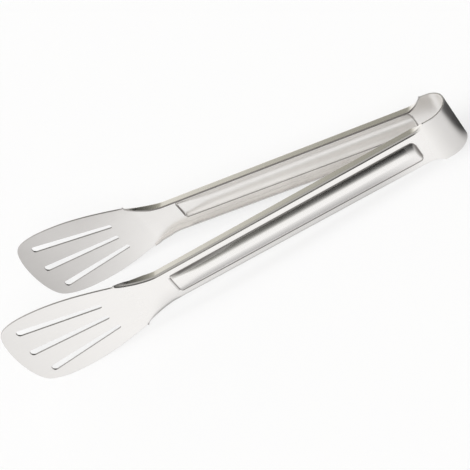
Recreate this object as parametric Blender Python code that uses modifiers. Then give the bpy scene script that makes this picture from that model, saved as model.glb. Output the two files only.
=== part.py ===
"""Pressed steel kitchen tongs: a spring bow, two channel handles and two slotted blades.

Metres. +X runs from the blade tips to the bow, +Y from the front arm to the rear arm, +Z up.
The tongs stand on the long edges of their blades, open, as they are at rest.
"""
import math

import bmesh
import bpy
from mathutils import Matrix, Vector

# Overall sizes
overall_length = 0.240
sheet = 0.0009
arm_splay = math.radians(6.9)
blade_toe_in = math.radians(5.05)

# Spring bow
bow_outer_radius = 0.0095
strip_width = 0.0232

# Handles, whose length is what the bow and the blades leave of the overall length
handle_width_at_bow = 0.0183
handle_width_at_neck = 0.0178
flange_depth = 0.0047
fold_radius = 0.0015
shoulder_start = 0.0030
shoulder_length = 0.0074
neck_length = 0.0202
neck_bend_length = 0.0144
neck_bend_lead = 0.0014
lip_depth = 0.0003
lip_fold_angle = math.radians(60.0)
fold_radius_limit_share = 0.6
shoulder_curve_power = 2.32
neck_curve_power = 1.5
shoulder_run_out_share = 1.17
shoulder_run_out_power = 0.7
neck_run_out_share = 1.5
neck_run_out_power = 0.55
fold_run_out_share = 3.0

# Raised grip panel of each handle
panel_shoulder_margin = 0.0003
panel_neck_margin = 0.0052
panel_border = 0.0035
panel_raise = 0.00085
panel_crown = 0.00125
panel_side_slope = 0.0012
panel_bow_slope = 0.0026
panel_neck_slope = 0.0019
panel_corner_radius = 0.0013

# Blades
blade_length = 0.0677
blade_root_width = 0.0286
blade_width = 0.0440
blade_widest_share = 0.68
blade_root_pull_shares = (0.207, 0.173)
blade_before_widest_share = 0.265
blade_after_widest_share = 0.09
blade_corner_shares = (0.922, 0.845)
blade_corner_pull_shares = (0.048, -0.116)
blade_tip_pull_share = 0.39

# Slots
slot_width_at_root = 0.0028
slot_width_at_tip = 0.0041
middle_slot_root_margin = 0.0122
middle_slot_tip_margin = 0.0083
outer_slot_root_margin = 0.0110
outer_slot_tip_margin = 0.0108
outer_slot_root_share = 0.545
outer_slot_tip_share = 0.632

# Clearances and finish
seam_gap = 0.0003
edge_break = 0.00015
cutter_overrun = 0.002
bow_steps = 40
slot_end_steps = 12
outline_resolution = 14
fold_steps = 5
shoulder_steps = 7
neck_steps = 12
panel_length_steps = 4
crown_shares = (0.0, 0.3, 0.6, 0.85)
wall_step_shares = (0.0, 0.34, 0.67, 1.0)
end_wall_shares = (0.0, 0.25, 0.5, 0.75, 1.0, 1.6)
edge_angle = math.radians(65)
flat_angle = math.radians(0.5)
weld_share = 0.1

# Derived sizes
strip_half = strip_width / 2
blade_half = blade_width / 2
root_half = blade_root_width / 2
bow_mid_radius = bow_outer_radius - sheet / 2
blade_angle = arm_splay - blade_toe_in
bow_centre_x = overall_length / 2 - bow_outer_radius
hinge_x = bow_centre_x + bow_mid_radius * math.sin(arm_splay)
hinge_y = bow_mid_radius * math.cos(arm_splay)
centre_z = blade_half
bend_radius = neck_bend_length / blade_toe_in
bend_reach = bend_radius * (math.sin(arm_splay) - math.sin(blade_angle))
beyond_bend = neck_length - neck_bend_length + neck_bend_lead
straight_reach = overall_length / 2 + hinge_x - bend_reach - (beyond_bend + blade_length) * math.cos(blade_angle)

# Stations along an arm, from the hinge
bend_start = straight_reach / math.cos(arm_splay)
neck_start = bend_start + neck_bend_lead
neck_end = neck_start + neck_length
shoulder_end = shoulder_start + shoulder_length
panel_start = shoulder_end + panel_shoulder_margin
panel_end = neck_start - panel_neck_margin


def clear_scene():
    for item in list(bpy.data.objects):
        bpy.data.objects.remove(item, do_unlink=True)


def new_collection(name):
    collection = bpy.data.collections.new(name)
    bpy.context.scene.collection.children.link(collection)
    return collection


def steel(name, shade, roughness):
    material = bpy.data.materials.new(name)
    material.use_nodes = True
    shader = material.node_tree.nodes["Principled BSDF"]
    shader.inputs["Base Color"].default_value = (shade, shade, shade, 1.0)
    shader.inputs["Metallic"].default_value = 1.0
    shader.inputs["Roughness"].default_value = roughness
    return material


def add_object(name, data, collection):
    item = bpy.data.objects.new(name, data)
    collection.objects.link(item)
    return item


def settle(item):
    """Replace an object's curve or modified mesh with the plain mesh that it draws."""
    bpy.context.view_layer.update()
    graph = bpy.context.evaluated_depsgraph_get()
    data = bpy.data.meshes.new_from_object(item.evaluated_get(graph))
    name = item.name
    collection = item.users_collection[0]
    placed = item.matrix_world.copy()
    bpy.data.objects.remove(item, do_unlink=True)
    settled = add_object(name, data, collection)
    data.name = name
    settled.matrix_world = placed
    return settled


def close_seams(item):
    """Join caps and walls into one closed shell, and leave each flat cap as one face."""
    mesh = bmesh.new()
    mesh.from_mesh(item.data)
    bmesh.ops.remove_doubles(mesh, verts=mesh.verts, dist=edge_break * weld_share)
    bmesh.ops.dissolve_limit(mesh, angle_limit=flat_angle, verts=mesh.verts, edges=mesh.edges)
    bmesh.ops.recalc_face_normals(mesh, faces=mesh.faces)
    mesh.to_mesh(item.data)
    mesh.free()


def thicken_inward(item, outward):
    """Give an open outer face its sheet thickness on the side away from outward."""
    mesh = bmesh.new()
    mesh.from_mesh(item.data)
    bmesh.ops.recalc_face_normals(mesh, faces=mesh.faces)
    facing = sum(face.normal.dot(outward(face.calc_center_median())) * face.calc_area() for face in mesh.faces)
    if facing < 0:
        bmesh.ops.reverse_faces(mesh, faces=mesh.faces)
    mesh.to_mesh(item.data)
    mesh.free()
    skin = item.modifiers.new("sheet", "SOLIDIFY")
    skin.thickness = sheet
    skin.offset = -1.0
    skin.use_even_offset = True


def break_edges(item):
    edges = item.modifiers.new("edge_break", "BEVEL")
    edges.width = edge_break
    edges.segments = 1
    edges.limit_method = "ANGLE"
    edges.angle_limit = edge_angle


def ease(value):
    value = min(1.0, max(0.0, value))
    return value * value * (3 - 2 * value)


def mix(low, high, share):
    return low + (high - low) * share


def handle_half_width(run):
    share = (run - shoulder_end) / (neck_start - shoulder_end)
    return mix(handle_width_at_bow, handle_width_at_neck, share) / 2


def section_at(run):
    """Half width to the fold, depth of the flange and angle it is folded to, at one station."""
    half = handle_half_width(run)
    share = 1.0
    fold = 1.0
    if run < shoulder_end:
        share = max(0.0, (run - shoulder_start) / shoulder_length)
        fold = min(1.0, share * shoulder_run_out_share) ** shoulder_run_out_power
        half = mix(half, strip_half, (1 - share) ** shoulder_curve_power)
    elif run > neck_start:
        share = 1 - (run - neck_start) / neck_length
        fold = min(1.0, share * neck_run_out_share) ** neck_run_out_power
        half = mix(half, root_half, (1 - share) ** neck_curve_power)
    depth = mix(lip_depth, flange_depth, fold)
    angle = mix(lip_fold_angle, math.pi / 2, min(1.0, share * fold_run_out_share))
    return half, depth, angle


def panel_height(run, across, half):
    """Height of the pressed grip panel: a rounded rectangle with sloped walls and a crowned top."""
    panel_half = half - panel_border
    end_slope = panel_bow_slope if run < (panel_start + panel_end) / 2 else panel_neck_slope
    inside_side = (panel_half - abs(across)) / panel_side_slope
    inside_end = min(run - panel_start, panel_end - run) / end_slope
    if inside_side <= 0 or inside_end <= 0:
        return 0.0
    corner_side = panel_corner_radius / panel_side_slope
    corner_end = panel_corner_radius / end_slope
    short_side = max(0.0, 1 - inside_side / corner_side)
    short_end = max(0.0, 1 - inside_end / corner_end)
    corner = 1 - min(1.0, math.hypot(short_side, short_end))
    rise = min(inside_side, inside_end, corner * max(corner_side, corner_end))
    crown = 1 - (across / panel_half) ** 2
    return panel_raise * ease(rise) + panel_crown * crown * ease(rise)


def half_section(run):
    """Points across half a section as (across, outward), from the centre line to the free edge."""
    half, depth, angle = section_at(run)
    radius = min(fold_radius, depth * fold_radius_limit_share)
    panel_half = half - panel_border
    wall_top = panel_half - panel_side_slope
    stops = [wall_top * share for share in crown_shares]
    stops += [mix(wall_top, panel_half, share) for share in wall_step_shares]
    points = [(across, panel_height(run, across, half)) for across in stops]
    fold_start = half - radius * math.sin(angle)
    points.append(((panel_half + fold_start) / 2, 0.0))
    for step in range(fold_steps + 1):
        turn = angle * step / fold_steps
        points.append((fold_start + radius * math.sin(turn), -radius * (1 - math.cos(turn))))
    across, outward = points[-1]
    points.append((across + (depth + outward) / math.tan(angle), -depth))
    return points


def path_at(run):
    """Point on the arm's outer face and its heading, in the plan of an arm that starts at the hinge."""
    turned = min(1.0, max(0.0, (run - bend_start) / neck_bend_length)) * blade_toe_in
    heading = arm_splay - turned
    straight = min(run, bend_start)
    x = -straight * math.cos(arm_splay)
    y = -straight * math.sin(arm_splay)
    x -= bend_radius * (math.sin(arm_splay) - math.sin(heading))
    y -= bend_radius * (math.cos(heading) - math.cos(arm_splay))
    beyond = max(0.0, run - bend_start - neck_bend_length)
    return x - beyond * math.cos(heading), y - beyond * math.sin(heading), heading


def place(run, across, outward):
    """A point of the front arm, relative to its hinge on the middle of the sheet."""
    x, y, heading = path_at(run)
    rise = outward + sheet / 2
    return Vector((x + rise * math.sin(heading), y - rise * math.cos(heading), across))


def handle_stations():
    first = seam_gap / 2
    last = neck_end - seam_gap / 2
    stations = [first]
    stations += [mix(shoulder_start, shoulder_end, step / shoulder_steps) for step in range(shoulder_steps + 1)]
    stations += [panel_start + panel_bow_slope * share for share in end_wall_shares]
    stations += [mix(panel_start, panel_end, step / panel_length_steps) for step in range(1, panel_length_steps)]
    stations += [panel_end - panel_neck_slope * share for share in reversed(end_wall_shares)]
    stations += [mix(neck_start, last, step / neck_steps) for step in range(neck_steps + 1)]
    return stations


def handle_skin(name, collection):
    """The handle's outer face as an open sheet, one row of points per station."""
    mesh = bmesh.new()
    rows = []
    for run in handle_stations():
        half = half_section(run)
        whole = [(-across, outward) for across, outward in reversed(half[1:])] + half
        rows.append([mesh.verts.new(place(run, across, outward)) for across, outward in whole])
    for row, following in zip(rows, rows[1:]):
        for index in range(len(row) - 1):
            mesh.faces.new((row[index], following[index], following[index + 1], row[index + 1]))
    data = bpy.data.meshes.new(name)
    mesh.to_mesh(data)
    mesh.free()
    return add_object(name, data, collection)


def spring_bow(name, collection):
    """A flat strip swept round from one arm to the other."""
    gap_angle = seam_gap / 2 / bow_mid_radius
    reach = math.pi / 2 - arm_splay - gap_angle
    data = bpy.data.meshes.new(name)
    side = (bow_outer_radius * math.cos(reach), -bow_outer_radius * math.sin(reach))
    data.from_pydata([(*side, -strip_half), (*side, strip_half)], [(0, 1)], [])
    item = add_object(name, data, collection)
    sweep = item.modifiers.new("sweep", "SCREW")
    sweep.axis = "Z"
    sweep.angle = 2 * reach
    sweep.steps = bow_steps
    sweep.render_steps = bow_steps
    item = settle(item)
    thicken_inward(item, lambda centre: Vector((centre.x, centre.y, 0.0)))
    break_edges(item)
    item = settle(item)
    item.location = (bow_centre_x, 0.0, centre_z)
    return item


def handle(name, collection):
    item = handle_skin(name, collection)
    thicken_inward(item, lambda centre: Vector((0.0, -1.0, 0.0)))
    break_edges(item)
    return settle(item)


def flat_curve(name, depth, resolution, collection):
    curve = bpy.data.curves.new(name, "CURVE")
    curve.dimensions = "2D"
    curve.fill_mode = "BOTH"
    curve.resolution_u = resolution
    curve.extrude = depth / 2
    return add_object(name, curve, collection)


def blade_blank(name, collection):
    """The blade before its slots are cut, lying flat with x from the neck to the tip."""
    item = flat_curve(name, sheet, outline_resolution, collection)
    size = Vector((blade_length, blade_half))
    root = Vector((seam_gap / 2, root_half))
    widest = Vector((blade_length * blade_widest_share, blade_half))
    corner = size * Vector(blade_corner_shares)
    tip = Vector((blade_length, 0.0))
    root_pull = size * Vector(blade_root_pull_shares)
    corner_pull = size * Vector(blade_corner_pull_shares)
    tip_pull = Vector((0.0, blade_half * blade_tip_pull_share))
    before_widest = Vector((blade_length * blade_before_widest_share, 0.0))
    after_widest = Vector((blade_length * blade_after_widest_share, 0.0))
    upper = [
        (root, root, root + root_pull),
        (widest, widest - before_widest, widest + after_widest),
        (corner, corner - corner_pull, corner + corner_pull),
    ]
    flip = Vector((1.0, -1.0))
    lower = [(point * flip, after * flip, before * flip) for point, before, after in reversed(upper)]
    outline = upper + [(tip, tip + tip_pull, tip - tip_pull)] + lower
    spline = item.data.splines.new("BEZIER")
    spline.bezier_points.add(len(outline) - 1)
    for target, (point, before, after) in zip(spline.bezier_points, outline):
        target.handle_left_type = "FREE"
        target.handle_right_type = "FREE"
        target.co = point.to_3d()
        target.handle_left = before.to_3d()
        target.handle_right = after.to_3d()
    spline.use_cyclic_u = True
    return item


def slot_cutter(name, start, end, offset_at_root, offset_at_tip, collection):
    """A round-ended slot that widens towards the tip."""
    root_radius = slot_width_at_root / 2
    tip_radius = slot_width_at_tip / 2
    root = Vector((start + root_radius, offset_at_root))
    tip = Vector((end - tip_radius, offset_at_tip))
    along = tip - root
    heading = math.atan2(along.y, along.x)
    lean = math.asin((tip_radius - root_radius) / along.length)
    item = flat_curve(name, sheet + 2 * cutter_overrun, 1, collection)
    spline = item.data.splines.new("POLY")
    spline.points.add(2 * slot_end_steps + 1)
    tip_arc = (tip, tip_radius, heading - math.pi / 2 - lean, math.pi + 2 * lean)
    root_arc = (root, root_radius, heading + math.pi / 2 + lean, math.pi - 2 * lean)
    targets = iter(spline.points)
    for centre, radius, first, turn in (tip_arc, root_arc):
        for step in range(slot_end_steps + 1):
            angle = first + turn * step / slot_end_steps
            point = centre + radius * Vector((math.cos(angle), math.sin(angle)))
            next(targets).co = (point.x, point.y, 0.0, 1.0)
    spline.use_cyclic_u = True
    item = settle(item)
    close_seams(item)
    item.hide_render = True
    item.display_type = "WIRE"
    return item


def slot_cutters(prefix, collection):
    middle = (middle_slot_root_margin, blade_length - middle_slot_tip_margin)
    outer = (outer_slot_root_margin, blade_length - outer_slot_tip_margin)
    at_root = root_half * outer_slot_root_share
    at_tip = blade_half * outer_slot_tip_share
    return [
        slot_cutter(prefix + "_upper", *outer, at_root, at_tip, collection),
        slot_cutter(prefix + "_middle", *middle, 0.0, 0.0, collection),
        slot_cutter(prefix + "_lower", *outer, -at_root, -at_tip, collection),
    ]


def blade(name, collection, cutter_collection):
    item = settle(blade_blank(name, collection))
    close_seams(item)
    for cutter in slot_cutters(name + "_slot", cutter_collection):
        cut = item.modifiers.new(cutter.name, "BOOLEAN")
        cut.operation = "DIFFERENCE"
        cut.solver = "EXACT"
        cut.object = cutter
    item = settle(item)
    close_seams(item)
    break_edges(item)
    item = settle(item)
    x, y, heading = path_at(neck_end)
    along = Vector((-math.cos(heading), -math.sin(heading), 0.0))
    upward = Vector((0.0, 0.0, 1.0))
    inward = along.cross(upward)
    stand = Matrix((along, upward, inward)).transposed().to_4x4()
    item.data.transform(Matrix.Translation((x, y, 0.0)) @ stand)
    return item


def mirrored(item, name, collection):
    """The same piece of the rear arm, mirrored through the plane between the arms."""
    data = item.data.copy()
    data.name = name
    data.transform(Matrix.Diagonal((1.0, -1.0, 1.0, 1.0)))
    data.flip_normals()
    return add_object(name, data, collection)


def build():
    clear_scene()
    parts = new_collection("kitchen_tongs")
    cutters = new_collection("cutters")
    bow = spring_bow("spring_bow", parts)
    front_handle = handle("front_handle", parts)
    front_blade = blade("front_blade", parts, cutters)
    rear_handle = mirrored(front_handle, "rear_handle", parts)
    rear_blade = mirrored(front_blade, "rear_blade", parts)
    hinges = {front_handle: -hinge_y, front_blade: -hinge_y, rear_handle: hinge_y, rear_blade: hinge_y}
    for item, y in hinges.items():
        item.location = (hinge_x, y, centre_z)
    finishes = (
        (bow, "bow_steel", 0.60, 0.24),
        (front_handle, "front_handle_steel", 0.66, 0.20),
        (front_blade, "front_blade_steel", 0.72, 0.26),
        (rear_handle, "rear_handle_steel", 0.66, 0.20),
        (rear_blade, "rear_blade_steel", 0.72, 0.26),
    )
    for item, name, shade, roughness in finishes:
        item.data.materials.clear()
        item.data.materials.append(steel(name, shade, roughness))
    for item, holder in ((front_blade, front_handle), (rear_blade, rear_handle)):
        bpy.context.view_layer.update()
        item.parent = holder
        item.matrix_parent_inverse = holder.matrix_world.inverted()


build()
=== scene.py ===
import math

import bmesh
import bpy
from mathutils import Matrix, Vector
from mathutils.geometry import delaunay_2d_cdt
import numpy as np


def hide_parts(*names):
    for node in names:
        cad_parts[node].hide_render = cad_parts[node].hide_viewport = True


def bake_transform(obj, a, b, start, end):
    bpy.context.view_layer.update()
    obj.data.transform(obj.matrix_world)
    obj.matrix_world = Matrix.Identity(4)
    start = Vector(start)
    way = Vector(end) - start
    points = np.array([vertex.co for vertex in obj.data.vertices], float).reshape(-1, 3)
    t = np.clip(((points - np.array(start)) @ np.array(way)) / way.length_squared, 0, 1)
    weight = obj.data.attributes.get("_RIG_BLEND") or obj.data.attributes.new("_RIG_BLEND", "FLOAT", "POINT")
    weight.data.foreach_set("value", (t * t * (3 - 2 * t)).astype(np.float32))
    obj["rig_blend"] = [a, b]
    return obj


# The strip, in metres; most sizes are those of the CAD source
OVERALL_LENGTH = 0.240
SHEET = 0.0009
EDGE_RADIUS = 0.00022
ARM_SPLAY = math.radians(6.9)
BLADE_TOE_IN = math.radians(5.05)
BOW_OUTER_RADIUS = 0.0095
STRIP_HALF = 0.0116

# The handle's web, its shoulder at the bow and its neck at the blade
HANDLE_HALF_AT_BOW = 0.00915
HANDLE_HALF_AT_NECK = 0.0089
SHOULDER_START = 0.0030
SHOULDER_LENGTH = 0.0074
SHOULDER_CURVE_POWER = 2.32
NECK_LENGTH = 0.0202
NECK_BEND_LENGTH = 0.0144
NECK_BEND_LEAD = 0.0014
NECK_CURVE_POWER = 1.5

# The flange along both long edges, and how it dies out at the shoulder and at the neck
FLANGE_DEPTH = 0.0047
LIP_DEPTH = 0.0003
LIP_FOLD_ANGLE = math.radians(60)
FOLD_RADIUS = 0.0013
FOLD_RADIUS_LIMIT_SHARE = 0.6
SHOULDER_RUN_OUT_SHARE = 1.17
SHOULDER_RUN_OUT_POWER = 0.7
NECK_RUN_OUT_SHARE = 1.5
NECK_RUN_OUT_POWER = 0.55
FOLD_RUN_OUT_SHARE = 3
LIP_RUN_OUT_SHARE = 0.05
FORMED_DEPTH = 0.0015
FLATTEST_FOLD = 0.02
SHORTEST_ARC = 1e-7

# The raised grip panel
PANEL_SHOULDER_MARGIN = 0.0003
PANEL_NECK_MARGIN = 0.0052
PANEL_BORDER = 0.0035
PANEL_EDGE_SLOPE = math.radians(40)
PANEL_FOOT = 0.00025
PANEL_SIDE_SLOPE = 0.0012
PANEL_BOW_SLOPE = 0.0016
PANEL_NECK_SLOPE = 0.0010
PANEL_NECK_REACH = 0.0028
PANEL_NECK_RUN = 0.016
PANEL_BOW_CORNER = 0.0023
PANEL_NECK_CORNER = 0.0013

# The blade and its three slots
BLADE_LENGTH = 0.0677
BLADE_HALF = 0.0220
ROOT_HALF = 0.0143
BLADE_WIDEST_SHARE = 0.68
BLADE_ROOT_PULL = Vector((0.207, 0.173))
BLADE_BEFORE_WIDEST_SHARE = 0.265
BLADE_AFTER_WIDEST_SHARE = 0.09
BLADE_CORNER = Vector((0.922, 0.845))
BLADE_CORNER_PULL = Vector((0.048, -0.116))
BLADE_TIP_PULL_SHARE = 0.39
SLOT_ROOT_RADIUS = 0.0014
SLOT_TIP_RADIUS = 0.00205
MIDDLE_SLOT_MARGINS = (0.0122, 0.0083)
OUTER_SLOT_MARGINS = (0.0110, 0.0108)
OUTER_SLOT_ROOT_SHARE = 0.545
OUTER_SLOT_TIP_SHARE = 0.632

# Stations along an arm, measured from its hinge, and other derived sizes
BLADE_ANGLE = ARM_SPLAY - BLADE_TOE_IN
BOW_MID_RADIUS = BOW_OUTER_RADIUS - SHEET / 2
BOW_CENTRE_X = OVERALL_LENGTH / 2 - BOW_OUTER_RADIUS
BOW_RUN = BOW_MID_RADIUS * (math.pi / 2 - ARM_SPLAY)
HINGE = Vector((
    BOW_CENTRE_X + BOW_MID_RADIUS * math.sin(ARM_SPLAY),
    -BOW_MID_RADIUS * math.cos(ARM_SPLAY),
    BLADE_HALF,
))
BEND_RADIUS = NECK_BEND_LENGTH / BLADE_TOE_IN
BEND_REACH = BEND_RADIUS * (math.sin(ARM_SPLAY) - math.sin(BLADE_ANGLE))
BEYOND_BEND = NECK_LENGTH - NECK_BEND_LENGTH + NECK_BEND_LEAD
BEND_START = (
    OVERALL_LENGTH / 2 + HINGE.x - BEND_REACH - (BEYOND_BEND + BLADE_LENGTH) * math.cos(BLADE_ANGLE)
) / math.cos(ARM_SPLAY)
NECK_START = BEND_START + NECK_BEND_LEAD
NECK_END = NECK_START + NECK_LENGTH
SHOULDER_END = SHOULDER_START + SHOULDER_LENGTH
PANEL_START = SHOULDER_END + PANEL_SHOULDER_MARGIN
PANEL_END = NECK_START - PANEL_NECK_MARGIN
PANEL_MIDDLE = (PANEL_START + PANEL_END) / 2

# How fine the mesh is: steps along the strip, then round the blade and its slots
BOW_STEPS = 72
BOW_END_STEPS = 6
SHOULDER_STEPS = 30
SHOULDER_CROWDING = 1.3
PANEL_BOW_STEPS = 14
PANEL_STEPS = 30
PANEL_NECK_STEPS = 12
BEFORE_NECK_SHARES = (0.03, 0.09, 0.3, 0.65)
NECK_STEPS = 60
NECK_CROWDING = 1.25
OUTLINE_STEPS = 26
SLOT_END_STEPS = 24
WELD_DISTANCE = 2e-6
OUTLINE_TOLERANCE = 1e-9


def mix(low, high, share):
    return low + (high - low) * share


def ease(value):
    value = min(1.0, max(0.0, value))
    return value * value * (3 - 2 * value)


def rise(value, zero, full):
    """Eases from 0 to 1 as the value goes from one mark to the other, whichever of them is larger."""
    return ease((value - zero) / (full - zero))


# Where the mesh's columns lie: shares of the panel's top, of its wall, and of the way from the wall's foot
# to the free edge, with the fold between its two marks
FOLD_FROM, FOLD_TO = 0.265, 0.577
TOP_SHARES = [step / 10 for step in range(10)]
WALL_SHARES = [step / 10 for step in range(11)]
TAIL_SHARES = [0.02, 0.05, 0.12, 0.19]
TAIL_SHARES += [mix(FOLD_FROM, FOLD_TO, step / 10) for step in range(11)]
TAIL_SHARES += [mix(FOLD_TO, 1.0, share) for share in (0.15, 0.35, 0.55, 0.75, 0.9)]
TAIL_SHARES += [1.0]


def flange_at(run):
    """Half width to the fold, flange depth and fold angle; the flange dies out at both of its ends."""
    share = (run - SHOULDER_END) / (NECK_START - SHOULDER_END)
    half = mix(HANDLE_HALF_AT_BOW, HANDLE_HALF_AT_NECK, share)
    share = 1.0
    fold = 1.0
    if run < SHOULDER_END:
        share = max(0.0, (run - SHOULDER_START) / SHOULDER_LENGTH)
        fold = min(1.0, share * SHOULDER_RUN_OUT_SHARE) ** SHOULDER_RUN_OUT_POWER
        half = mix(half, STRIP_HALF, (1 - share) ** SHOULDER_CURVE_POWER)
    elif run > NECK_START:
        share = max(0.0, 1 - (run - NECK_START) / NECK_LENGTH)
        fold = min(1.0, share * NECK_RUN_OUT_SHARE) ** NECK_RUN_OUT_POWER
        half = mix(half, ROOT_HALF, (1 - share) ** NECK_CURVE_POWER)
    lip = ease(share / LIP_RUN_OUT_SHARE)
    depth = mix(LIP_DEPTH, FLANGE_DEPTH, fold) * lip
    angle = mix(LIP_FOLD_ANGLE, math.pi / 2, min(1.0, share * FOLD_RUN_OUT_SHARE)) * lip
    return half, depth, angle


def cushion_rise(depth, half):
    """Height at a distance inside the panel's border; the slope eases from the border to the middle."""
    if depth < PANEL_FOOT:
        return math.tan(PANEL_EDGE_SLOPE) * depth * depth / (2 * PANEL_FOOT)
    inward = 1 - min(1.0, (depth - PANEL_FOOT / 2) / half)
    fall = math.log(math.cos(PANEL_EDGE_SLOPE * inward) / math.cos(PANEL_EDGE_SLOPE))
    return half / PANEL_EDGE_SLOPE * fall


def panel_inset(run, across, half):
    """How far a point lies inside the panel's rounded outline, from its sides and from its ends."""
    radius = PANEL_BOW_CORNER if run < PANEL_MIDDLE else PANEL_NECK_CORNER
    from_end = min(run - PANEL_START, PANEL_END - run)
    short = radius - min(max(from_end, 0.0), radius)
    from_side = half - PANEL_BORDER - abs(across) - radius + math.sqrt(radius ** 2 - short ** 2)
    return from_side, from_end


def panel_height(run, across, half):
    from_side, from_end = panel_inset(run, across, half)
    if from_side <= 0 or from_end <= 0:
        return 0.0
    end_slope = PANEL_BOW_SLOPE if run < PANEL_MIDDLE else PANEL_NECK_SLOPE
    left = 1 - min(1.0, from_end / end_slope)
    swell = ease((PANEL_END - run) / PANEL_NECK_RUN)
    return (1 - left ** 2) * cushion_rise(from_side, mix(PANEL_NECK_REACH, half - PANEL_BORDER, swell))


def outer_half(run):
    """Half of the outer face as (across, outward, normal across, normal outward), centre line first."""
    half, depth, angle = flange_at(run)
    radius = min(FOLD_RADIUS, depth * FOLD_RADIUS_LIMIT_SHARE)
    panel_half = half - PANEL_BORDER
    wall_top = panel_half - PANEL_SIDE_SLOPE
    spots = [wall_top * share for share in TOP_SHARES]
    spots += [mix(wall_top, panel_half, share) for share in WALL_SHARES]
    points = []
    step = 0.00002
    for across in spots:
        height = panel_height(run, across, half)
        change = panel_height(run, across + step, half) - panel_height(run, across - step, half)
        slope = change / (2 * step)
        length = math.hypot(1.0, slope)
        points.append((across, height, -slope / length, 1 / length))
    fold_start = half - radius * math.sin(angle)
    straight = 0.0
    if angle > FLATTEST_FOLD:
        straight = max(0.0, (depth - radius * (1 - math.cos(angle))) / math.sin(angle))
    border = fold_start - panel_half
    arc = radius * angle
    total = border + arc + straight - EDGE_RADIUS
    formed = ease(depth / FORMED_DEPTH)
    first = mix(FOLD_FROM * total, border, formed)
    second = mix(FOLD_TO * total, border + arc, formed)
    for share in TAIL_SHARES:
        if share < FOLD_FROM:
            along = first * share / FOLD_FROM
        elif share < FOLD_TO:
            along = mix(first, second, (share - FOLD_FROM) / (FOLD_TO - FOLD_FROM))
        else:
            along = mix(second, total, (share - FOLD_TO) / (1 - FOLD_TO))
        if along <= border or arc < SHORTEST_ARC:
            points.append((panel_half + along, 0.0, 0.0, 1.0))
            continue
        turn = min(angle, (along - border) / radius)
        beyond = max(0.0, along - border - arc)
        across = fold_start + radius * math.sin(turn) + beyond * math.cos(turn)
        outward = -radius * (1 - math.cos(turn)) - beyond * math.sin(turn)
        points.append((across, outward, math.sin(turn), math.cos(turn)))
    return points


def rounded_rim(across, outward, normal_across, normal_outward):
    """Points round the sheared edge, from the last point of the outer face to that of the inner face."""
    rim = []
    for centre_depth, turns in (
        (EDGE_RADIUS, (22.5, 45, 67.5, 90)),
        (SHEET - EDGE_RADIUS, (90, 112.5, 135, 157.5)),
    ):
        for turn in turns:
            turn = math.radians(turn)
            lift = EDGE_RADIUS * math.cos(turn) - centre_depth
            reach = EDGE_RADIUS * math.sin(turn)
            rim.append((
                across + normal_across * lift + normal_outward * reach,
                outward + normal_outward * lift - normal_across * reach,
            ))
    return rim


FLAT_RIM = rounded_rim(0.0, 0.0, 0.0, 1.0)
FACE_COUNT = len(TOP_SHARES) + len(WALL_SHARES) + len(TAIL_SHARES)
RIM_COUNT = len(FLAT_RIM)
HALF_COUNT = 2 * FACE_COUNT + RIM_COUNT


def section_loop(run):
    """Closed section of the sheet as (across, outward): outside, rim and inside, then the lower half."""
    outer = outer_half(run)
    rim = rounded_rim(*outer[-1])
    face = []
    back = []
    for across, outward, normal_across, normal_outward in outer:
        face.append((across, outward))
        back.append((across - SHEET * normal_across, outward - SHEET * normal_outward))
    upper = face + rim + back[::-1]
    return upper + [(-across, outward) for across, outward in upper[-2:0:-1]]


def path_at(run):
    """Place and heading of the arm's mid sheet line at a station; runs below zero are on the bow."""
    if run < 0:
        heading = ARM_SPLAY - run / BOW_MID_RADIUS
        centre = Vector((BOW_CENTRE_X, 0.0))
        return centre + BOW_MID_RADIUS * Vector((math.sin(heading), -math.cos(heading))), heading
    turned = min(1.0, max(0.0, (run - BEND_START) / NECK_BEND_LENGTH)) * BLADE_TOE_IN
    heading = ARM_SPLAY - turned
    straight = min(run, BEND_START)
    spot = Vector((HINGE.x, HINGE.y)) - straight * Vector((math.cos(ARM_SPLAY), math.sin(ARM_SPLAY)))
    spot.x -= BEND_RADIUS * (math.sin(ARM_SPLAY) - math.sin(heading))
    spot.y -= BEND_RADIUS * (math.cos(heading) - math.cos(ARM_SPLAY))
    beyond = max(0.0, run - BEND_START - NECK_BEND_LENGTH)
    return spot - beyond * Vector((math.cos(heading), math.sin(heading))), heading


def place(run, across, outward):
    """World place of a point of the front arm, given on the sheet's outer face."""
    spot, heading = path_at(run)
    lift = outward + SHEET / 2
    return Vector((spot.x + lift * math.sin(heading), spot.y - lift * math.cos(heading), HINGE.z + across))


def blade_place(along, across, outward):
    """World place of a point of the front blade, which goes on flat from the end of the neck."""
    step = along * Vector((math.cos(BLADE_ANGLE), math.sin(BLADE_ANGLE), 0.0))
    return place(NECK_END, across, outward) - step


def spread(start, end, count, crowding=1.0):
    """Stations from the start to just before the end; crowding over 1 packs them at the start."""
    return [mix(start, end, (step / count) ** crowding) for step in range(count)]


def stations():
    spots = spread(-BOW_RUN, 0.0, BOW_STEPS)
    spots += spread(0.0, SHOULDER_START, BOW_END_STEPS)
    spots += spread(SHOULDER_START, SHOULDER_END, SHOULDER_STEPS, SHOULDER_CROWDING)
    spots += spread(PANEL_START, PANEL_START + PANEL_BOW_SLOPE, PANEL_BOW_STEPS)
    spots += spread(PANEL_START + PANEL_BOW_SLOPE, PANEL_END - PANEL_NECK_SLOPE, PANEL_STEPS)
    spots += spread(PANEL_END - PANEL_NECK_SLOPE, PANEL_END, PANEL_NECK_STEPS)
    spots += [PANEL_END]
    spots += [mix(PANEL_END, NECK_START, share) for share in BEFORE_NECK_SHARES]
    spots += [NECK_START]
    spots += spread(NECK_END, NECK_START, NECK_STEPS, NECK_CROWDING)[::-1]
    return spots


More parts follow.
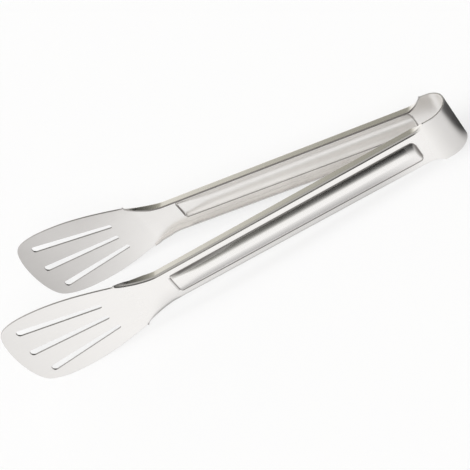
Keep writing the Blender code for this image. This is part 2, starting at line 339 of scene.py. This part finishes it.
# The dullness and darkness of the steel, from 0 on clean steel to 1 on the darkest; the darkening is painted
# shade, and on the sheared edges partly their own grey
# Painted shade: a dark line in the crease round the panel
CREASE_PAINTED_SHADE = 0.80
CREASE_FULL = 0.0001
CREASE_REACH = 0.0005
CREASE_REACH_AT_NECK = 0.0009
# Painted shade on the panel's slope at its bow end
PANEL_BOW_END_PAINTED_SHADE = 0.85
PANEL_BOW_END_RUN = 0.004
PANEL_BOW_END_REACH = (0.0012, 0.0030)
# Painted shade along the top of the panel near the neck, on the outer face
UPPER_SLOPE_PAINTED_SHADE = 0.72
UPPER_SLOPE_REACH = 0.0019
UPPER_SLOPE_FULL = 0.0003
UPPER_SLOPE_ZERO, UPPER_SLOPE_WHOLE = PANEL_END - 0.040, PANEL_END - 0.008
UPPER_SLOPE_END_FADE = 0.002
# The blades' dullness; the inner faces' higher value also darkens their colour a little, as painted shade
OUTER_BLADE_PATINA = 0.10
INNER_BLADE_DULLNESS_AND_SHADE = 0.16
BLADE_DULL_AND_SHADE_ZERO, BLADE_DULL_AND_SHADE_WHOLE = NECK_START + 0.006, NECK_START + 0.020
# Painted shade added towards each blade's tip, most on the inner face
OUTER_TIP_PAINTED_SHADE = 0.12
INNER_TIP_PAINTED_SHADE = 0.34
# Painted shade on the outside of the bow, darkest at its crown
BOW_PAINTED_SHADE = (0.35, 0.40)
BOW_SHADE_ZERO, BOW_SHADE_WHOLE = 0.0117, -0.0063
CROWN_ZERO, CROWN_WHOLE = 0.35, 0.95
# Painted shade along the lower edge of the outer face, wider towards the neck
LOWER_EDGE_PAINTED_SHADE = 0.6
LOWER_EDGE_WIDTH = (0.0009, 0.0030)
LOWER_EDGE_WIDE_ZERO, LOWER_EDGE_WIDE_WHOLE = NECK_START - 0.006, NECK_START
LOWER_EDGE_END_FADE = 0.008
LOWER_EDGE_START_FADE = 0.003
INNER_PATINA = 0.12
# Darkening of the sheared edges: partly their own grey, partly painted shade, most along the upper flange
UPPER_RIM_GREY_AND_SHADE = 0.80
LOWER_RIM_GREY_AND_SHADE = 0.45
BLADE_RIM_GREY_AND_SHADE = 0.50
RIM_START_FADE = 0.006


def panel_painted_shade(run, across, half, outer):
    """Painted shade: the dark line in the crease round the panel, and the darkened slopes at the bow and
    along the top near the neck.
    """
    from_side, from_end = panel_inset(run, across, half)
    inset = min(from_side, from_end)
    at_neck_end = outer and from_end < from_side and run > PANEL_MIDDLE
    crease_reach = CREASE_REACH_AT_NECK if at_neck_end else CREASE_REACH
    crease = CREASE_PAINTED_SHADE * rise(abs(inset), crease_reach, CREASE_FULL)
    bow_end = 0.0
    if run < PANEL_START + PANEL_BOW_END_RUN and inset > 0:
        reach = mix(*PANEL_BOW_END_REACH, ease(0.5 + across / (2 * half)))
        bow_end = PANEL_BOW_END_PAINTED_SHADE * rise(from_end, reach, 0.0)
    upper_slope = 0.0
    if outer and across > 0 and inset > 0:
        near_neck = rise(run, UPPER_SLOPE_ZERO, UPPER_SLOPE_WHOLE)
        near_neck *= rise(run, PANEL_END, PANEL_END - UPPER_SLOPE_END_FADE)
        near_top = rise(from_side, UPPER_SLOPE_REACH, UPPER_SLOPE_FULL)
        upper_slope = UPPER_SLOPE_PAINTED_SHADE * near_top * near_neck
    return max(crease, bow_end, upper_slope)


def dullness_and_shade_at(run, across, outer):
    half, _, _ = flange_at(run)
    panel = panel_painted_shade(run, across, half, outer)
    blade_dull_and_shade = OUTER_BLADE_PATINA if outer else INNER_BLADE_DULLNESS_AND_SHADE
    blade = blade_dull_and_shade * rise(run, BLADE_DULL_AND_SHADE_ZERO, BLADE_DULL_AND_SHADE_WHOLE)
    if not outer:
        return max(panel, blade, INNER_PATINA)
    # Painted shade on the outside of the bow, darkest at its crown
    crown = rise(-run / BOW_RUN, CROWN_ZERO, CROWN_WHOLE)
    bow = mix(*BOW_PAINTED_SHADE, crown) * rise(run, BOW_SHADE_ZERO, BOW_SHADE_WHOLE)
    # Painted shade along the lower edge of the outer face
    lower_edge = 0.0
    if across < 0:
        wide = rise(run, LOWER_EDGE_WIDE_ZERO, LOWER_EDGE_WIDE_WHOLE)
        wide *= rise(run, NECK_END, NECK_END - LOWER_EDGE_END_FADE)
        lower_edge = LOWER_EDGE_PAINTED_SHADE * rise(half + across, mix(*LOWER_EDGE_WIDTH, wide), 0.0)
        lower_edge *= rise(run, SHOULDER_START, SHOULDER_START + LOWER_EDGE_START_FADE)
    return max(panel, blade, bow, lower_edge)


def rim_grey_and_shade_at(run, across):
    """How dark the sheared edge is, partly its own grey and partly painted shade: clean round the bow, dark
    along the flanges, grey round the blade.
    """
    flange = UPPER_RIM_GREY_AND_SHADE if across > 0 else LOWER_RIM_GREY_AND_SHADE
    flange *= rise(run, SHOULDER_START, SHOULDER_START + RIM_START_FADE)
    return mix(flange, BLADE_RIM_GREY_AND_SHADE, rise(run, NECK_START, NECK_END))


def blade_dullness_and_shade_at(along, outer):
    """The blade gets steadily duller and, by painted shade, darker from its root to its tip."""
    added = OUTER_TIP_PAINTED_SHADE if outer else INNER_TIP_PAINTED_SHADE
    return dullness_and_shade_at(NECK_END, STRIP_HALF, outer) + added * along / BLADE_LENGTH


def bezier(knots, steps):
    """A curve through knots, each given as (point, handle before, handle after)."""
    line = []
    for (start, _, start_pull), (end, end_pull, _) in zip(knots, knots[1:]):
        for step in range(steps):
            share = step / steps
            left = 1 - share
            point = start * left ** 3 + start_pull * 3 * left * left * share
            line.append(point + end_pull * 3 * left * share * share + end * share ** 3)
    return line + [knots[-1][0]]


def blade_outline():
    """The blade's edge as (along, across), from the neck's upper corner round the tip to its lower one."""
    size = Vector((BLADE_LENGTH, BLADE_HALF))
    root = Vector((0.0, ROOT_HALF))
    widest = Vector((BLADE_LENGTH * BLADE_WIDEST_SHARE, BLADE_HALF))
    before_widest = widest - Vector((BLADE_LENGTH * BLADE_BEFORE_WIDEST_SHARE, 0.0))
    after_widest = widest + Vector((BLADE_LENGTH * BLADE_AFTER_WIDEST_SHARE, 0.0))
    corner = size * BLADE_CORNER
    corner_pull = size * BLADE_CORNER_PULL
    tip = Vector((BLADE_LENGTH, 0.0))
    upper = [
        (root, root, root + size * BLADE_ROOT_PULL),
        (widest, before_widest, after_widest),
        (corner, corner - corner_pull, corner + corner_pull),
        (tip, tip + Vector((0.0, BLADE_HALF * BLADE_TIP_PULL_SHARE)), tip),
    ]
    line = bezier(upper, OUTLINE_STEPS)
    return line + [Vector((point.x, -point.y)) for point in line[-2::-1]]


def slot_outline(margins, at_root, at_tip):
    """A round-ended slot that widens towards the tip, walked so that the metal lies on its outside."""
    root = Vector((margins[0] + SLOT_ROOT_RADIUS, at_root))
    tip = Vector((BLADE_LENGTH - margins[1] - SLOT_TIP_RADIUS, at_tip))
    along = tip - root
    heading = math.atan2(along.y, along.x)
    lean = math.asin((SLOT_TIP_RADIUS - SLOT_ROOT_RADIUS) / along.length)
    line = []
    for centre, radius, first, turn in (
        (tip, SLOT_TIP_RADIUS, heading - math.pi / 2 - lean, math.pi + 2 * lean),
        (root, SLOT_ROOT_RADIUS, heading + math.pi / 2 + lean, math.pi - 2 * lean),
    ):
        for step in range(SLOT_END_STEPS + 1):
            angle = first + turn * step / SLOT_END_STEPS
            line.append(centre + radius * Vector((math.cos(angle), math.sin(angle))))
    return line


def slot_outlines():
    at_root = ROOT_HALF * OUTER_SLOT_ROOT_SHARE
    at_tip = BLADE_HALF * OUTER_SLOT_TIP_SHARE
    return [
        slot_outline(OUTER_SLOT_MARGINS, at_root, at_tip),
        slot_outline(MIDDLE_SLOT_MARGINS, 0.0, 0.0),
        slot_outline(OUTER_SLOT_MARGINS, -at_root, -at_tip),
    ]


def edge_normals(line, closed, side):
    """Unit vectors in the sheet's plane that point out of the metal at each point of an edge."""
    normals = []
    for index, point in enumerate(line):
        before = line[index - 1] if closed or index else point
        after = line[(index + 1) % len(line)] if closed or index < len(line) - 1 else point
        along = (after - before).normalized()
        normals.append(side * Vector((-along.y, along.x)))
    if not closed:
        normals[0] = Vector((0.0, 1.0))
        normals[-1] = Vector((0.0, -1.0))
    return normals


def inside(point, polygon):
    """Whether a ray from the point crosses the polygon an odd number of times."""
    odd = False
    for start, end in zip(polygon, polygon[1:] + polygon[:1]):
        if (start.y > point.y) != (end.y > point.y):
            crossing = (end.x - start.x) * (point.y - start.y) / (end.y - start.y) + start.x
            if point.x < crossing:
                odd = not odd
    return odd


def add_blade_rim(mesh, line, closed, side):
    """The rounded rim along one edge of the blade; gives back the line where the flat faces begin."""
    dullness_and_painted_shade = mesh.verts.layers.float["dullness_and_painted_shade"]
    rim_grey_and_shade = rim_grey_and_shade_at(NECK_END, STRIP_HALF)
    flat_line = []
    rings = []
    for point, normal in zip(line, edge_normals(line, closed, side)):
        flat = point - EDGE_RADIUS * normal
        flat_line.append(flat)
        spots = [(flat, 0.0)]
        spots += [(flat + normal * reach, lift) for reach, lift in FLAT_RIM]
        spots += [(flat, -SHEET)]
        ring = [mesh.verts.new(blade_place(spot.x, spot.y, lift)) for spot, lift in spots]
        for vert in ring:
            vert[dullness_and_painted_shade] = rim_grey_and_shade
        ring[0][dullness_and_painted_shade] = blade_dullness_and_shade_at(point.x, True)
        ring[-1][dullness_and_painted_shade] = blade_dullness_and_shade_at(point.x, False)
        rings.append(ring)
    last = len(rings) if closed else len(rings) - 1
    for index in range(last):
        here, there = rings[index], rings[(index + 1) % len(rings)]
        for spot in range(len(here) - 1):
            face = mesh.faces.new((here[spot], there[spot], there[spot + 1], here[spot + 1]))
            face.material_index = 1
    return flat_line


def add_blade(mesh):
    """The flat blade: rounded rims along its edge and slots, and two faces with the slots left open."""
    dullness_and_painted_shade = mesh.verts.layers.float["dullness_and_painted_shade"]
    root_row = sorted({round(across, 9) for across, outward in section_loop(NECK_END) if outward == 0.0})
    outline = add_blade_rim(mesh, blade_outline(), False, 1)
    outline += [Vector((0.0, across)) for across in root_row[1:-1]]
    holes = [add_blade_rim(mesh, line, True, -1) for line in slot_outlines()]
    coords, edges = [], []
    for loop in [outline] + holes:
        first = len(coords)
        coords += loop
        edges += [(first + index, first + (index + 1) % len(loop)) for index in range(len(loop))]
    points, _, faces, _, _, _ = delaunay_2d_cdt(coords, edges, [], 1, OUTLINE_TOLERANCE)
    metal = []
    for face in faces:
        middle = sum((points[index] for index in face), Vector((0.0, 0.0))) / len(face)
        if inside(middle, outline) and not any(inside(middle, hole) for hole in holes):
            metal.append(face)
    for outer, lift in ((True, 0.0), (False, -SHEET)):
        verts = [mesh.verts.new(blade_place(point.x, point.y, lift)) for point in points]
        for vert, point in zip(verts, points):
            vert[dullness_and_painted_shade] = blade_dullness_and_shade_at(point.x, outer)
        for face in metal:
            mesh.faces.new([verts[index] for index in face])


def add_swept_strip(mesh):
    """The bow's half and the handle, as rows of the sheet's section from the crown to the neck's end."""
    dullness_and_painted_shade = mesh.verts.layers.float["dullness_and_painted_shade"]
    rows = []
    for run in stations():
        row = []
        for column, (across, outward) in enumerate(section_loop(run)):
            vert = mesh.verts.new(place(run, across, outward))
            from_centre = column if column < HALF_COUNT else 2 * (HALF_COUNT - 1) - column
            if FACE_COUNT <= from_centre < FACE_COUNT + RIM_COUNT:
                vert[dullness_and_painted_shade] = rim_grey_and_shade_at(run, across)
            else:
                vert[dullness_and_painted_shade] = dullness_and_shade_at(run, across, from_centre < FACE_COUNT)
            row.append(vert)
        rows.append(row)
    for row, next_row in zip(rows, rows[1:]):
        for column in range(len(row)):
            beside = (column + 1) % len(row)
            face = mesh.faces.new((row[column], row[beside], next_row[beside], next_row[column]))
            from_centre = column if column < HALF_COUNT - 1 else 2 * HALF_COUNT - 3 - column
            face.material_index = int(FACE_COUNT - 1 <= from_centre < FACE_COUNT + RIM_COUNT)


def strip_mesh(name, side):
    """One arm with its half of the bow, as one closed sheet of steel; side is -1 for the rear arm."""
    mesh = bmesh.new()
    blank = mesh.loops.layers.uv.new("blank")
    mesh.verts.layers.float.new("dullness_and_painted_shade")
    add_swept_strip(mesh)
    add_blade(mesh)
    bmesh.ops.remove_doubles(mesh, verts=mesh.verts, dist=WELD_DISTANCE)
    bmesh.ops.recalc_face_normals(mesh, faces=mesh.faces)
    for face in mesh.faces:
        face.smooth = True
        for loop in face.loops:
            loop[blank].uv = blank_place(loop.vert.co)
    if side < 0:
        for vert in mesh.verts:
            vert.co.y = -vert.co.y
        bmesh.ops.reverse_faces(mesh, faces=mesh.faces)
    data = bpy.data.meshes.new(name)
    mesh.to_mesh(data)
    mesh.free()
    straighten_normals(data)
    item = bpy.data.objects.new(name, data)
    bpy.context.scene.collection.objects.link(item)
    return item


def blank_place(point):
    """Where a point of the front arm lies on the flat blank: metres along it and metres across it."""
    if point.x > HINGE.x:
        turn = math.atan2(point.x - BOW_CENTRE_X, -point.y) - ARM_SPLAY
        along = -BOW_MID_RADIUS * turn
    else:
        along = (HINGE.x - point.x) / math.cos(ARM_SPLAY)
    return along, point.z - HINGE.z


# What counts as a flat face of the blade, when its shading is straightened
BLADE_SHADING_MARGIN = 0.0002
FLAT_FACE_RISE = 0.02
FLAT_FACE_TURN = 0.05


def straighten_normals(data):
    """Keep the shading of the flat blade flat right up to its rounded rims."""
    normals = [Vector(normal.vector) for normal in data.vertex_normals]
    blade_start = place(NECK_END, 0.0, 0.0).x - BLADE_SHADING_MARGIN
    for polygon in data.polygons:
        flat = abs(polygon.normal.z) < FLAT_FACE_RISE and abs(polygon.normal.x) < FLAT_FACE_TURN
        if not flat or polygon.center.x >= blade_start:
            continue
        for index in polygon.vertices:
            if data.vertices[index].co.x < blade_start:
                normals[index] = polygon.normal.copy()
    data.normals_split_custom_set_from_vertices([tuple(normal) for normal in normals])


def link(tree, start, end):
    tree.links.new(start, end)


def math_node(tree, operation, first, second):
    """A math node on two values, each a number or another node's output."""
    node = tree.nodes.new("ShaderNodeMath")
    node.operation = operation
    for socket, value in zip(node.inputs, (first, second)):
        if isinstance(value, float):
            socket.default_value = value
        else:
            link(tree, value, socket)
    return node.outputs["Value"]


def map_range(tree, value, spans, to_spans=(0.0, 1.0), kind="LINEAR"):
    """Maps a value from one span to another, clamped; a span may fall instead of rise."""
    if spans[0] > spans[1]:
        spans = spans[::-1]
        to_spans = to_spans[::-1]
    node = tree.nodes.new("ShaderNodeMapRange")
    node.interpolation_type = kind
    node.inputs["From Min"].default_value = spans[0]
    node.inputs["From Max"].default_value = spans[1]
    node.inputs["To Min"].default_value = to_spans[0]
    node.inputs["To Max"].default_value = to_spans[1]
    link(tree, value, node.inputs["Value"])
    return node.outputs["Result"]


def dot_with(tree, vector, direction):
    node = tree.nodes.new("ShaderNodeVectorMath")
    node.operation = "DOT_PRODUCT"
    node.inputs[1].default_value = direction
    link(tree, vector, node.inputs[0])
    return node.outputs["Value"]


def colour_ramp(tree, value, stops):
    node = tree.nodes.new("ShaderNodeValToRGB")
    elements = node.color_ramp.elements
    for step in range(1, len(stops) - 1):
        elements.new(step / len(stops))
    for element, (position, colour) in zip(elements, stops):
        element.position = position
        element.color = (*colour, 1.0)
    link(tree, value, node.inputs["Fac"])
    return node.outputs["Color"]


def mixed_colour(tree, share, first, second):
    """A mix of two colours, each a colour or another node's output."""
    node = tree.nodes.new("ShaderNodeMix")
    node.data_type = "RGBA"
    link(tree, share, node.inputs[0])
    for socket, value in ((node.inputs[6], first), (node.inputs[7], second)):
        if isinstance(value, tuple):
            socket.default_value = (*value, 1.0)
        else:
            link(tree, value, socket)
    return node.outputs[2]


# Noise on the flat blank: scale, how much finer it is across than along, detail and roughness
GRAIN = (60.0, 110.0, 5.0, 0.62)
FINE_GRAIN = (260.0, 60.0, 3.0, 0.6)
MARKS = (55.0, 1.6, 4.0, 0.55)

# Tints of the steel, as colours along the grain
CLEAN_TINTS = ((0.30, (0.925, 0.906, 0.886)), (0.70, (0.965, 0.948, 0.929)))
# Dark tints for painted shade, and on the sheared edges partly their own grey
GREY_AND_SHADE_TINTS = ((0.30, (0.060, 0.045, 0.040)), (0.70, (0.110, 0.090, 0.080)))
GREY_AND_SHADE_TINT_SPAN = (INNER_PATINA, 1.0)

# The roughness: spans of grain, marks and patina, each with what it gives or adds
GRAIN_SPAN = (0.3, 0.7)
SHEARED_ROUGHNESS = (0.34, 0.46)
SATIN_ROUGHNESS = (0.16, 0.22)
MARKS_SPAN, MARKS_ADDED = (0.35, 0.75), (-0.02, 0.04)
LIGHT_PATINA_SPAN, LIGHT_PATINA_ADDED = (0.0, INNER_PATINA), (0.0, 0.13)
HEAVY_PATINA_SPAN, HEAVY_PATINA_ADDED = (INNER_PATINA, 0.50), (0.0, 0.03)
GRAIN_BUMP_STRENGTH = 0.10
GRAIN_BUMP_DEPTH = 0.00003


def steel_material(name, sheared):
    """Satin stainless steel brushed along the strip, or the rougher steel of its sheared edges."""
    material = bpy.data.materials.new(name)
    material.use_nodes = True
    tree = material.node_tree
    shader = tree.nodes["Principled BSDF"]
    shader.inputs["Metallic"].default_value = 1.0
    blank = tree.nodes.new("ShaderNodeUVMap")
    blank.uv_map = "blank"

    def noise(scale, across_scale, detail, roughness):
        mapping = tree.nodes.new("ShaderNodeMapping")
        mapping.inputs["Scale"].default_value = (1.0, across_scale, 1.0)
        link(tree, blank.outputs["UV"], mapping.inputs["Vector"])
        texture = tree.nodes.new("ShaderNodeTexNoise")
        texture.inputs["Scale"].default_value = scale
        texture.inputs["Detail"].default_value = detail
        texture.inputs["Roughness"].default_value = roughness
        link(tree, mapping.outputs["Vector"], texture.inputs["Vector"])
        return texture.outputs["Fac"]

    grain = noise(*GRAIN)
    dullness_and_shade_node = tree.nodes.new("ShaderNodeAttribute")
    dullness_and_shade_node.attribute_name = "dullness_and_painted_shade"
    dullness_and_painted_shade = dullness_and_shade_node.outputs["Fac"]

    clean = colour_ramp(tree, grain, CLEAN_TINTS)
    darkened_tint = colour_ramp(tree, grain, GREY_AND_SHADE_TINTS)
    # The base colour darkens with the per-vertex value: painted shade, and on the sheared edges partly their
    # own grey
    tint = mixed_colour(tree, map_range(tree, dullness_and_painted_shade, GREY_AND_SHADE_TINT_SPAN), clean, darkened_tint)
    link(tree, tint, shader.inputs["Base Color"])

    if sheared:
        rough = map_range(tree, grain, GRAIN_SPAN, SHEARED_ROUGHNESS)
    else:
        rough = map_range(tree, grain, GRAIN_SPAN, SATIN_ROUGHNESS)
        for value, span, added in (
            (noise(*MARKS), MARKS_SPAN, MARKS_ADDED),
            (dullness_and_painted_shade, LIGHT_PATINA_SPAN, LIGHT_PATINA_ADDED),
            (dullness_and_painted_shade, HEAVY_PATINA_SPAN, HEAVY_PATINA_ADDED),
        ):
            rough = math_node(tree, "ADD", rough, map_range(tree, value, span, added))
    link(tree, rough, shader.inputs["Roughness"])

    bump = tree.nodes.new("ShaderNodeBump")
    bump.inputs["Strength"].default_value = GRAIN_BUMP_STRENGTH
    bump.inputs["Distance"].default_value = GRAIN_BUMP_DEPTH
    link(tree, math_node(tree, "ADD", grain, noise(*FINE_GRAIN)), bump.inputs["Height"])
    link(tree, bump.outputs["Normal"], shader.inputs["Normal"])
    return material


# The floor: where it lies, its whites, and how much of it glows to the camera and in the steel
FLOOR_HALF = 6.0
FLOOR_GAP = 0.00005
BOW_REST_SHARE = 0.3
FLOOR_DIFFUSE = 0.94
FLOOR_GLOW = 0.985
FLOOR_ROUGHNESS = 0.9
FLOOR_WHITE_SEEN = 0.70
FLOOR_WHITE_IN_STEEL = 0.88

# The floor's darker zone behind the bow's crown, as distances from the bow's centre
CROWN_SHADE = 0.93
CROWN_SHADE_HEADING = math.radians(75)
CROWN_SHADE_EDGE = (-0.004, 0.009)
CROWN_SHADE_END = (0.075, 0.045)

# The floor's darker zone along the front handle's foot, sideways from the foot and along it
FOOT_SHADE = 0.50
FOOT_SHADE_EDGE = (-0.0015, 0.0)
FOOT_SHADE_REACH = (0.024, 0.0)
FOOT_SHADE_BOW_END = (0.0, 0.04)
FOOT_SHADE_NECK_END = (0.025, 0.010)


def floor_material(rest, tilt):
    """A pale floor that keeps the shadow and shows white to the camera and in the steel.

    Two soft darker zones are seen in the steel alone: one darkens the edge of the bow's crown, and the
    other the lower half of the front panel.
    """
    material = bpy.data.materials.new("pale_floor")
    material.use_nodes = True
    tree = material.node_tree
    shader = tree.nodes["Principled BSDF"]
    shader.inputs["Roughness"].default_value = FLOOR_ROUGHNESS
    shader.inputs["Specular IOR Level"].default_value = 0.0
    spot = tree.nodes.new("ShaderNodeTexCoord").outputs["Object"]

    def on_floor(point):
        return Vector(((point.x - rest.x) / math.cos(tilt), point.y, 0.0))

    def from_point(point):
        node = tree.nodes.new("ShaderNodeVectorMath")
        node.operation = "SUBTRACT"
        node.inputs[1].default_value = point
        link(tree, spot, node.inputs[0])
        return node.outputs["Vector"]

    def product(first, *others):
        for value in others:
            first = math_node(tree, "MULTIPLY", first, value)
        return first

    from_crown = from_point(on_floor(Vector((BOW_CENTRE_X, 0.0, 0.0))))
    heading = Vector((math.cos(CROWN_SHADE_HEADING), math.sin(CROWN_SHADE_HEADING), 0.0))
    distance = tree.nodes.new("ShaderNodeVectorMath")
    distance.operation = "LENGTH"
    link(tree, from_crown, distance.inputs[0])
    by_crown = product(
        map_range(tree, dot_with(tree, from_crown, heading), CROWN_SHADE_EDGE, kind="SMOOTHSTEP"),
        map_range(tree, distance.outputs["Value"], CROWN_SHADE_END, kind="SMOOTHSTEP"),
        CROWN_SHADE,
    )

    foot = on_floor(place(SHOULDER_START, -flange_at(SHOULDER_START)[0], 0.0))
    foot_line = on_floor(place(NECK_START, -flange_at(NECK_START)[0], 0.0)) - foot
    length = foot_line.length
    foot_line.normalize()
    outward = Vector((-foot_line.y, foot_line.x, 0.0))
    if outward.y > 0:
        outward.negate()
    neck_end = tuple(length + beyond for beyond in FOOT_SHADE_NECK_END)
    from_foot = from_point(foot)
    beside = dot_with(tree, from_foot, outward)
    along = dot_with(tree, from_foot, foot_line)
    by_foot = product(
        map_range(tree, beside, FOOT_SHADE_EDGE, kind="SMOOTHSTEP"),
        map_range(tree, beside, FOOT_SHADE_REACH),
        map_range(tree, along, FOOT_SHADE_BOW_END, kind="SMOOTHSTEP"),
        map_range(tree, along, neck_end, kind="SMOOTHSTEP"),
        FOOT_SHADE,
    )

    paths = tree.nodes.new("ShaderNodeLightPath")
    shade = product(math_node(tree, "MAXIMUM", by_crown, by_foot), paths.outputs["Is Glossy Ray"])
    light = math_node(tree, "SUBTRACT", 1.0, shade)
    link(tree, product(light, FLOOR_DIFFUSE), shader.inputs["Base Color"])
    white = tree.nodes.new("ShaderNodeEmission")
    link(tree, product(light, FLOOR_GLOW), white.inputs["Color"])
    seen = product(paths.outputs["Is Camera Ray"], FLOOR_WHITE_SEEN)
    in_steel = product(paths.outputs["Is Glossy Ray"], FLOOR_WHITE_IN_STEEL)
    both = tree.nodes.new("ShaderNodeMixShader")
    link(tree, math_node(tree, "MAXIMUM", seen, in_steel), both.inputs["Fac"])
    link(tree, shader.outputs["BSDF"], both.inputs[1])
    link(tree, white.outputs["Emission"], both.inputs[2])
    link(tree, both.outputs["Shader"], tree.nodes["Material Output"].inputs["Surface"])
    return material


def studio_floor():
    """A pale floor that the tongs rest on with both blades and the lower edge of the bow."""
    blade_low = blade_place(BLADE_LENGTH * BLADE_WIDEST_SHARE, -BLADE_HALF, 0.0)
    bow_low = Vector((BOW_CENTRE_X + BOW_OUTER_RADIUS * BOW_REST_SHARE, 0.0, HINGE.z - STRIP_HALF))
    tilt = math.atan2(bow_low.z - blade_low.z, bow_low.x - blade_low.x)
    rest = Vector((blade_low.x, 0.0, blade_low.z - FLOOR_GAP))
    corners = [(x * FLOOR_HALF, y * FLOOR_HALF, 0.0) for x, y in ((-1, -1), (1, -1), (1, 1), (-1, 1))]
    data = bpy.data.meshes.new("floor")
    data.from_pydata(corners, [], [(0, 1, 2, 3)])
    data.materials.append(floor_material(rest, tilt))
    floor = bpy.data.objects.new("floor", data)
    floor.matrix_world = Matrix.Translation(rest) @ Matrix.Rotation(-tilt, 4, "Y")
    bpy.context.scene.collection.objects.link(floor)


# The world round the steel: colours from the right to the left, then the brighter patches that lie over
# them, each as a direction and the span of its cosine over which it fades in
WORLD_STRENGTH = 2.4
WORLD_STOPS = (
    (0.00, (0.002, 0.002, 0.002)),
    (0.25, (0.004, 0.004, 0.004)),
    (0.40, (0.075, 0.073, 0.062)),
    (0.54, (0.135, 0.132, 0.112)),
    (0.60, (0.180, 0.176, 0.150)),
    (0.66, (0.270, 0.264, 0.236)),
    (0.74, (0.375, 0.370, 0.345)),
    (0.88, (0.430, 0.425, 0.412)),
)
WORLD_RAMP = ((-1.0, 0.1, -0.2), (-0.30, 0.70))
OVERHEAD = ((-0.3, 0.0, 1.0), (0.76, 0.92))
OVERHEAD_COLOUR = (0.18, 0.177, 0.17)
FRONT_WINDOW_SIDE = ((-0.94, 0.342, 0.0), (-0.03, 0.13))
FRONT_WINDOW_FRONT = ((0.0, -1.0, 0.0), (0.05, 0.45))
FRONT_WINDOW_TOP = ((0.0, 0.0, -1.0), (-0.85, -0.62))
REAR_WINDOW = ((-0.45, 0.89, -0.03), (0.87, 0.96))
WINDOW_COLOUR = (0.43, 0.427, 0.42)
HORIZON = ((0.0, 0.0, -1.0), (-0.75, 0.0))
HORIZON_FALL = 4.0
HORIZON_COLOUR = (0.41, 0.41, 0.405)


def studio_world():
    """What the steel mirrors: darker to the right, with soft windows and patches and a white horizon."""
    world = bpy.data.worlds.new("studio")
    bpy.context.scene.world = world
    world.use_nodes = True
    tree = world.node_tree
    direction = tree.nodes.new("ShaderNodeTexCoord").outputs["Generated"]

    def towards(vector, span):
        return map_range(tree, dot_with(tree, direction, vector), span)

    colour = colour_ramp(tree, towards(*WORLD_RAMP), WORLD_STOPS)
    colour = mixed_colour(tree, towards(*OVERHEAD), colour, OVERHEAD_COLOUR)
    front = math_node(tree, "MULTIPLY", towards(*FRONT_WINDOW_SIDE), towards(*FRONT_WINDOW_FRONT))
    front = math_node(tree, "MULTIPLY", front, towards(*FRONT_WINDOW_TOP))
    colour = mixed_colour(tree, front, colour, WINDOW_COLOUR)
    colour = mixed_colour(tree, towards(*REAR_WINDOW), colour, WINDOW_COLOUR)
    horizon = math_node(tree, "POWER", towards(*HORIZON), HORIZON_FALL)
    colour = mixed_colour(tree, horizon, colour, HORIZON_COLOUR)
    background = tree.nodes["Background"]
    link(tree, colour, background.inputs["Color"])
    background.inputs["Strength"].default_value = WORLD_STRENGTH


# The two lamps: the way to each from the tongs, and its strength
KEY_LAMP = ((-0.90, -0.11, 0.40), 2.2)
FILL_LAMP = ((0.377, -0.737, 0.562), 2.1)
LAMP_SPREAD = math.radians(24)


def lamp(name, way, energy):
    """A soft lamp for the floor; the steel shows the lit floor and the world, not the lamp."""
    data = bpy.data.lights.new(name, "SUN")
    data.energy = energy
    data.angle = LAMP_SPREAD
    item = bpy.data.objects.new(name, data)
    item.visible_glossy = False
    item.rotation_mode = "QUATERNION"
    item.rotation_quaternion = Vector(way).to_track_quat("Z", "Y")
    bpy.context.scene.collection.objects.link(item)


# The camera, as fitted to the photo
CAMERA_LENS = 108.455
CAMERA_SENSOR = 36.0
CAMERA_CLIP = (0.05, 50.0)
CAMERA_PLACE = Vector((0.2524798, -0.4936292, 0.3898305))
CAMERA_RIGHT = Vector((0.8426393, 0.0211877, -0.5380614))
CAMERA_DOWN = Vector((-0.3843993, -0.6760756, -0.6286167))
CAMERA_FORWARD = Vector((-0.3770891, 0.7365276, -0.5615433))


def camera():
    data = bpy.data.cameras.new("camera")
    data.sensor_width = CAMERA_SENSOR
    data.lens = CAMERA_LENS
    data.clip_start, data.clip_end = CAMERA_CLIP
    item = bpy.data.objects.new("camera", data)
    bpy.context.scene.collection.objects.link(item)
    turn = Matrix((CAMERA_RIGHT, -CAMERA_DOWN, -CAMERA_FORWARD)).transposed()
    item.matrix_world = Matrix.Translation(CAMERA_PLACE) @ turn.to_4x4()
    bpy.context.scene.camera = item


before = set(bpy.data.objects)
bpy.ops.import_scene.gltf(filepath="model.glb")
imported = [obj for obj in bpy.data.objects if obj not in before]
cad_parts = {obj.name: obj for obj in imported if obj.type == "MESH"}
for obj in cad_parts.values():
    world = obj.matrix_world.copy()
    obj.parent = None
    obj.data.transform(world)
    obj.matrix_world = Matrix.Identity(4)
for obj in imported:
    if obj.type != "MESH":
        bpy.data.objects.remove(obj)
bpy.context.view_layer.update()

steel = steel_material("satin_steel", False)
edge_steel = steel_material("sheared_edge_steel", True)
blend_reach = Vector((0.003, 0.0, 0.0))
for name, side, body, nodes, slot in (
    ("front_strip", 1, "front_arm", ("front_handle", "front_blade"), "front_handle_steel"),
    ("rear_strip", -1, "rear_arm", ("rear_handle", "rear_blade"), "rear_handle_steel"),
):
    strip = strip_mesh(name, side)
    strip.data.materials.append(steel)
    strip.data.materials.append(edge_steel)
    hinge = Vector((HINGE.x, HINGE.y * side, HINGE.z))
    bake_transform(strip, "bow", body, start=hinge + blend_reach, end=hinge - blend_reach)
    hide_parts(*nodes, "spring_bow")

studio_floor()
studio_world()
lamp("key", *KEY_LAMP)
lamp("fill", *FILL_LAMP)
camera()
bpy.context.scene.view_settings.view_transform = "Standard"
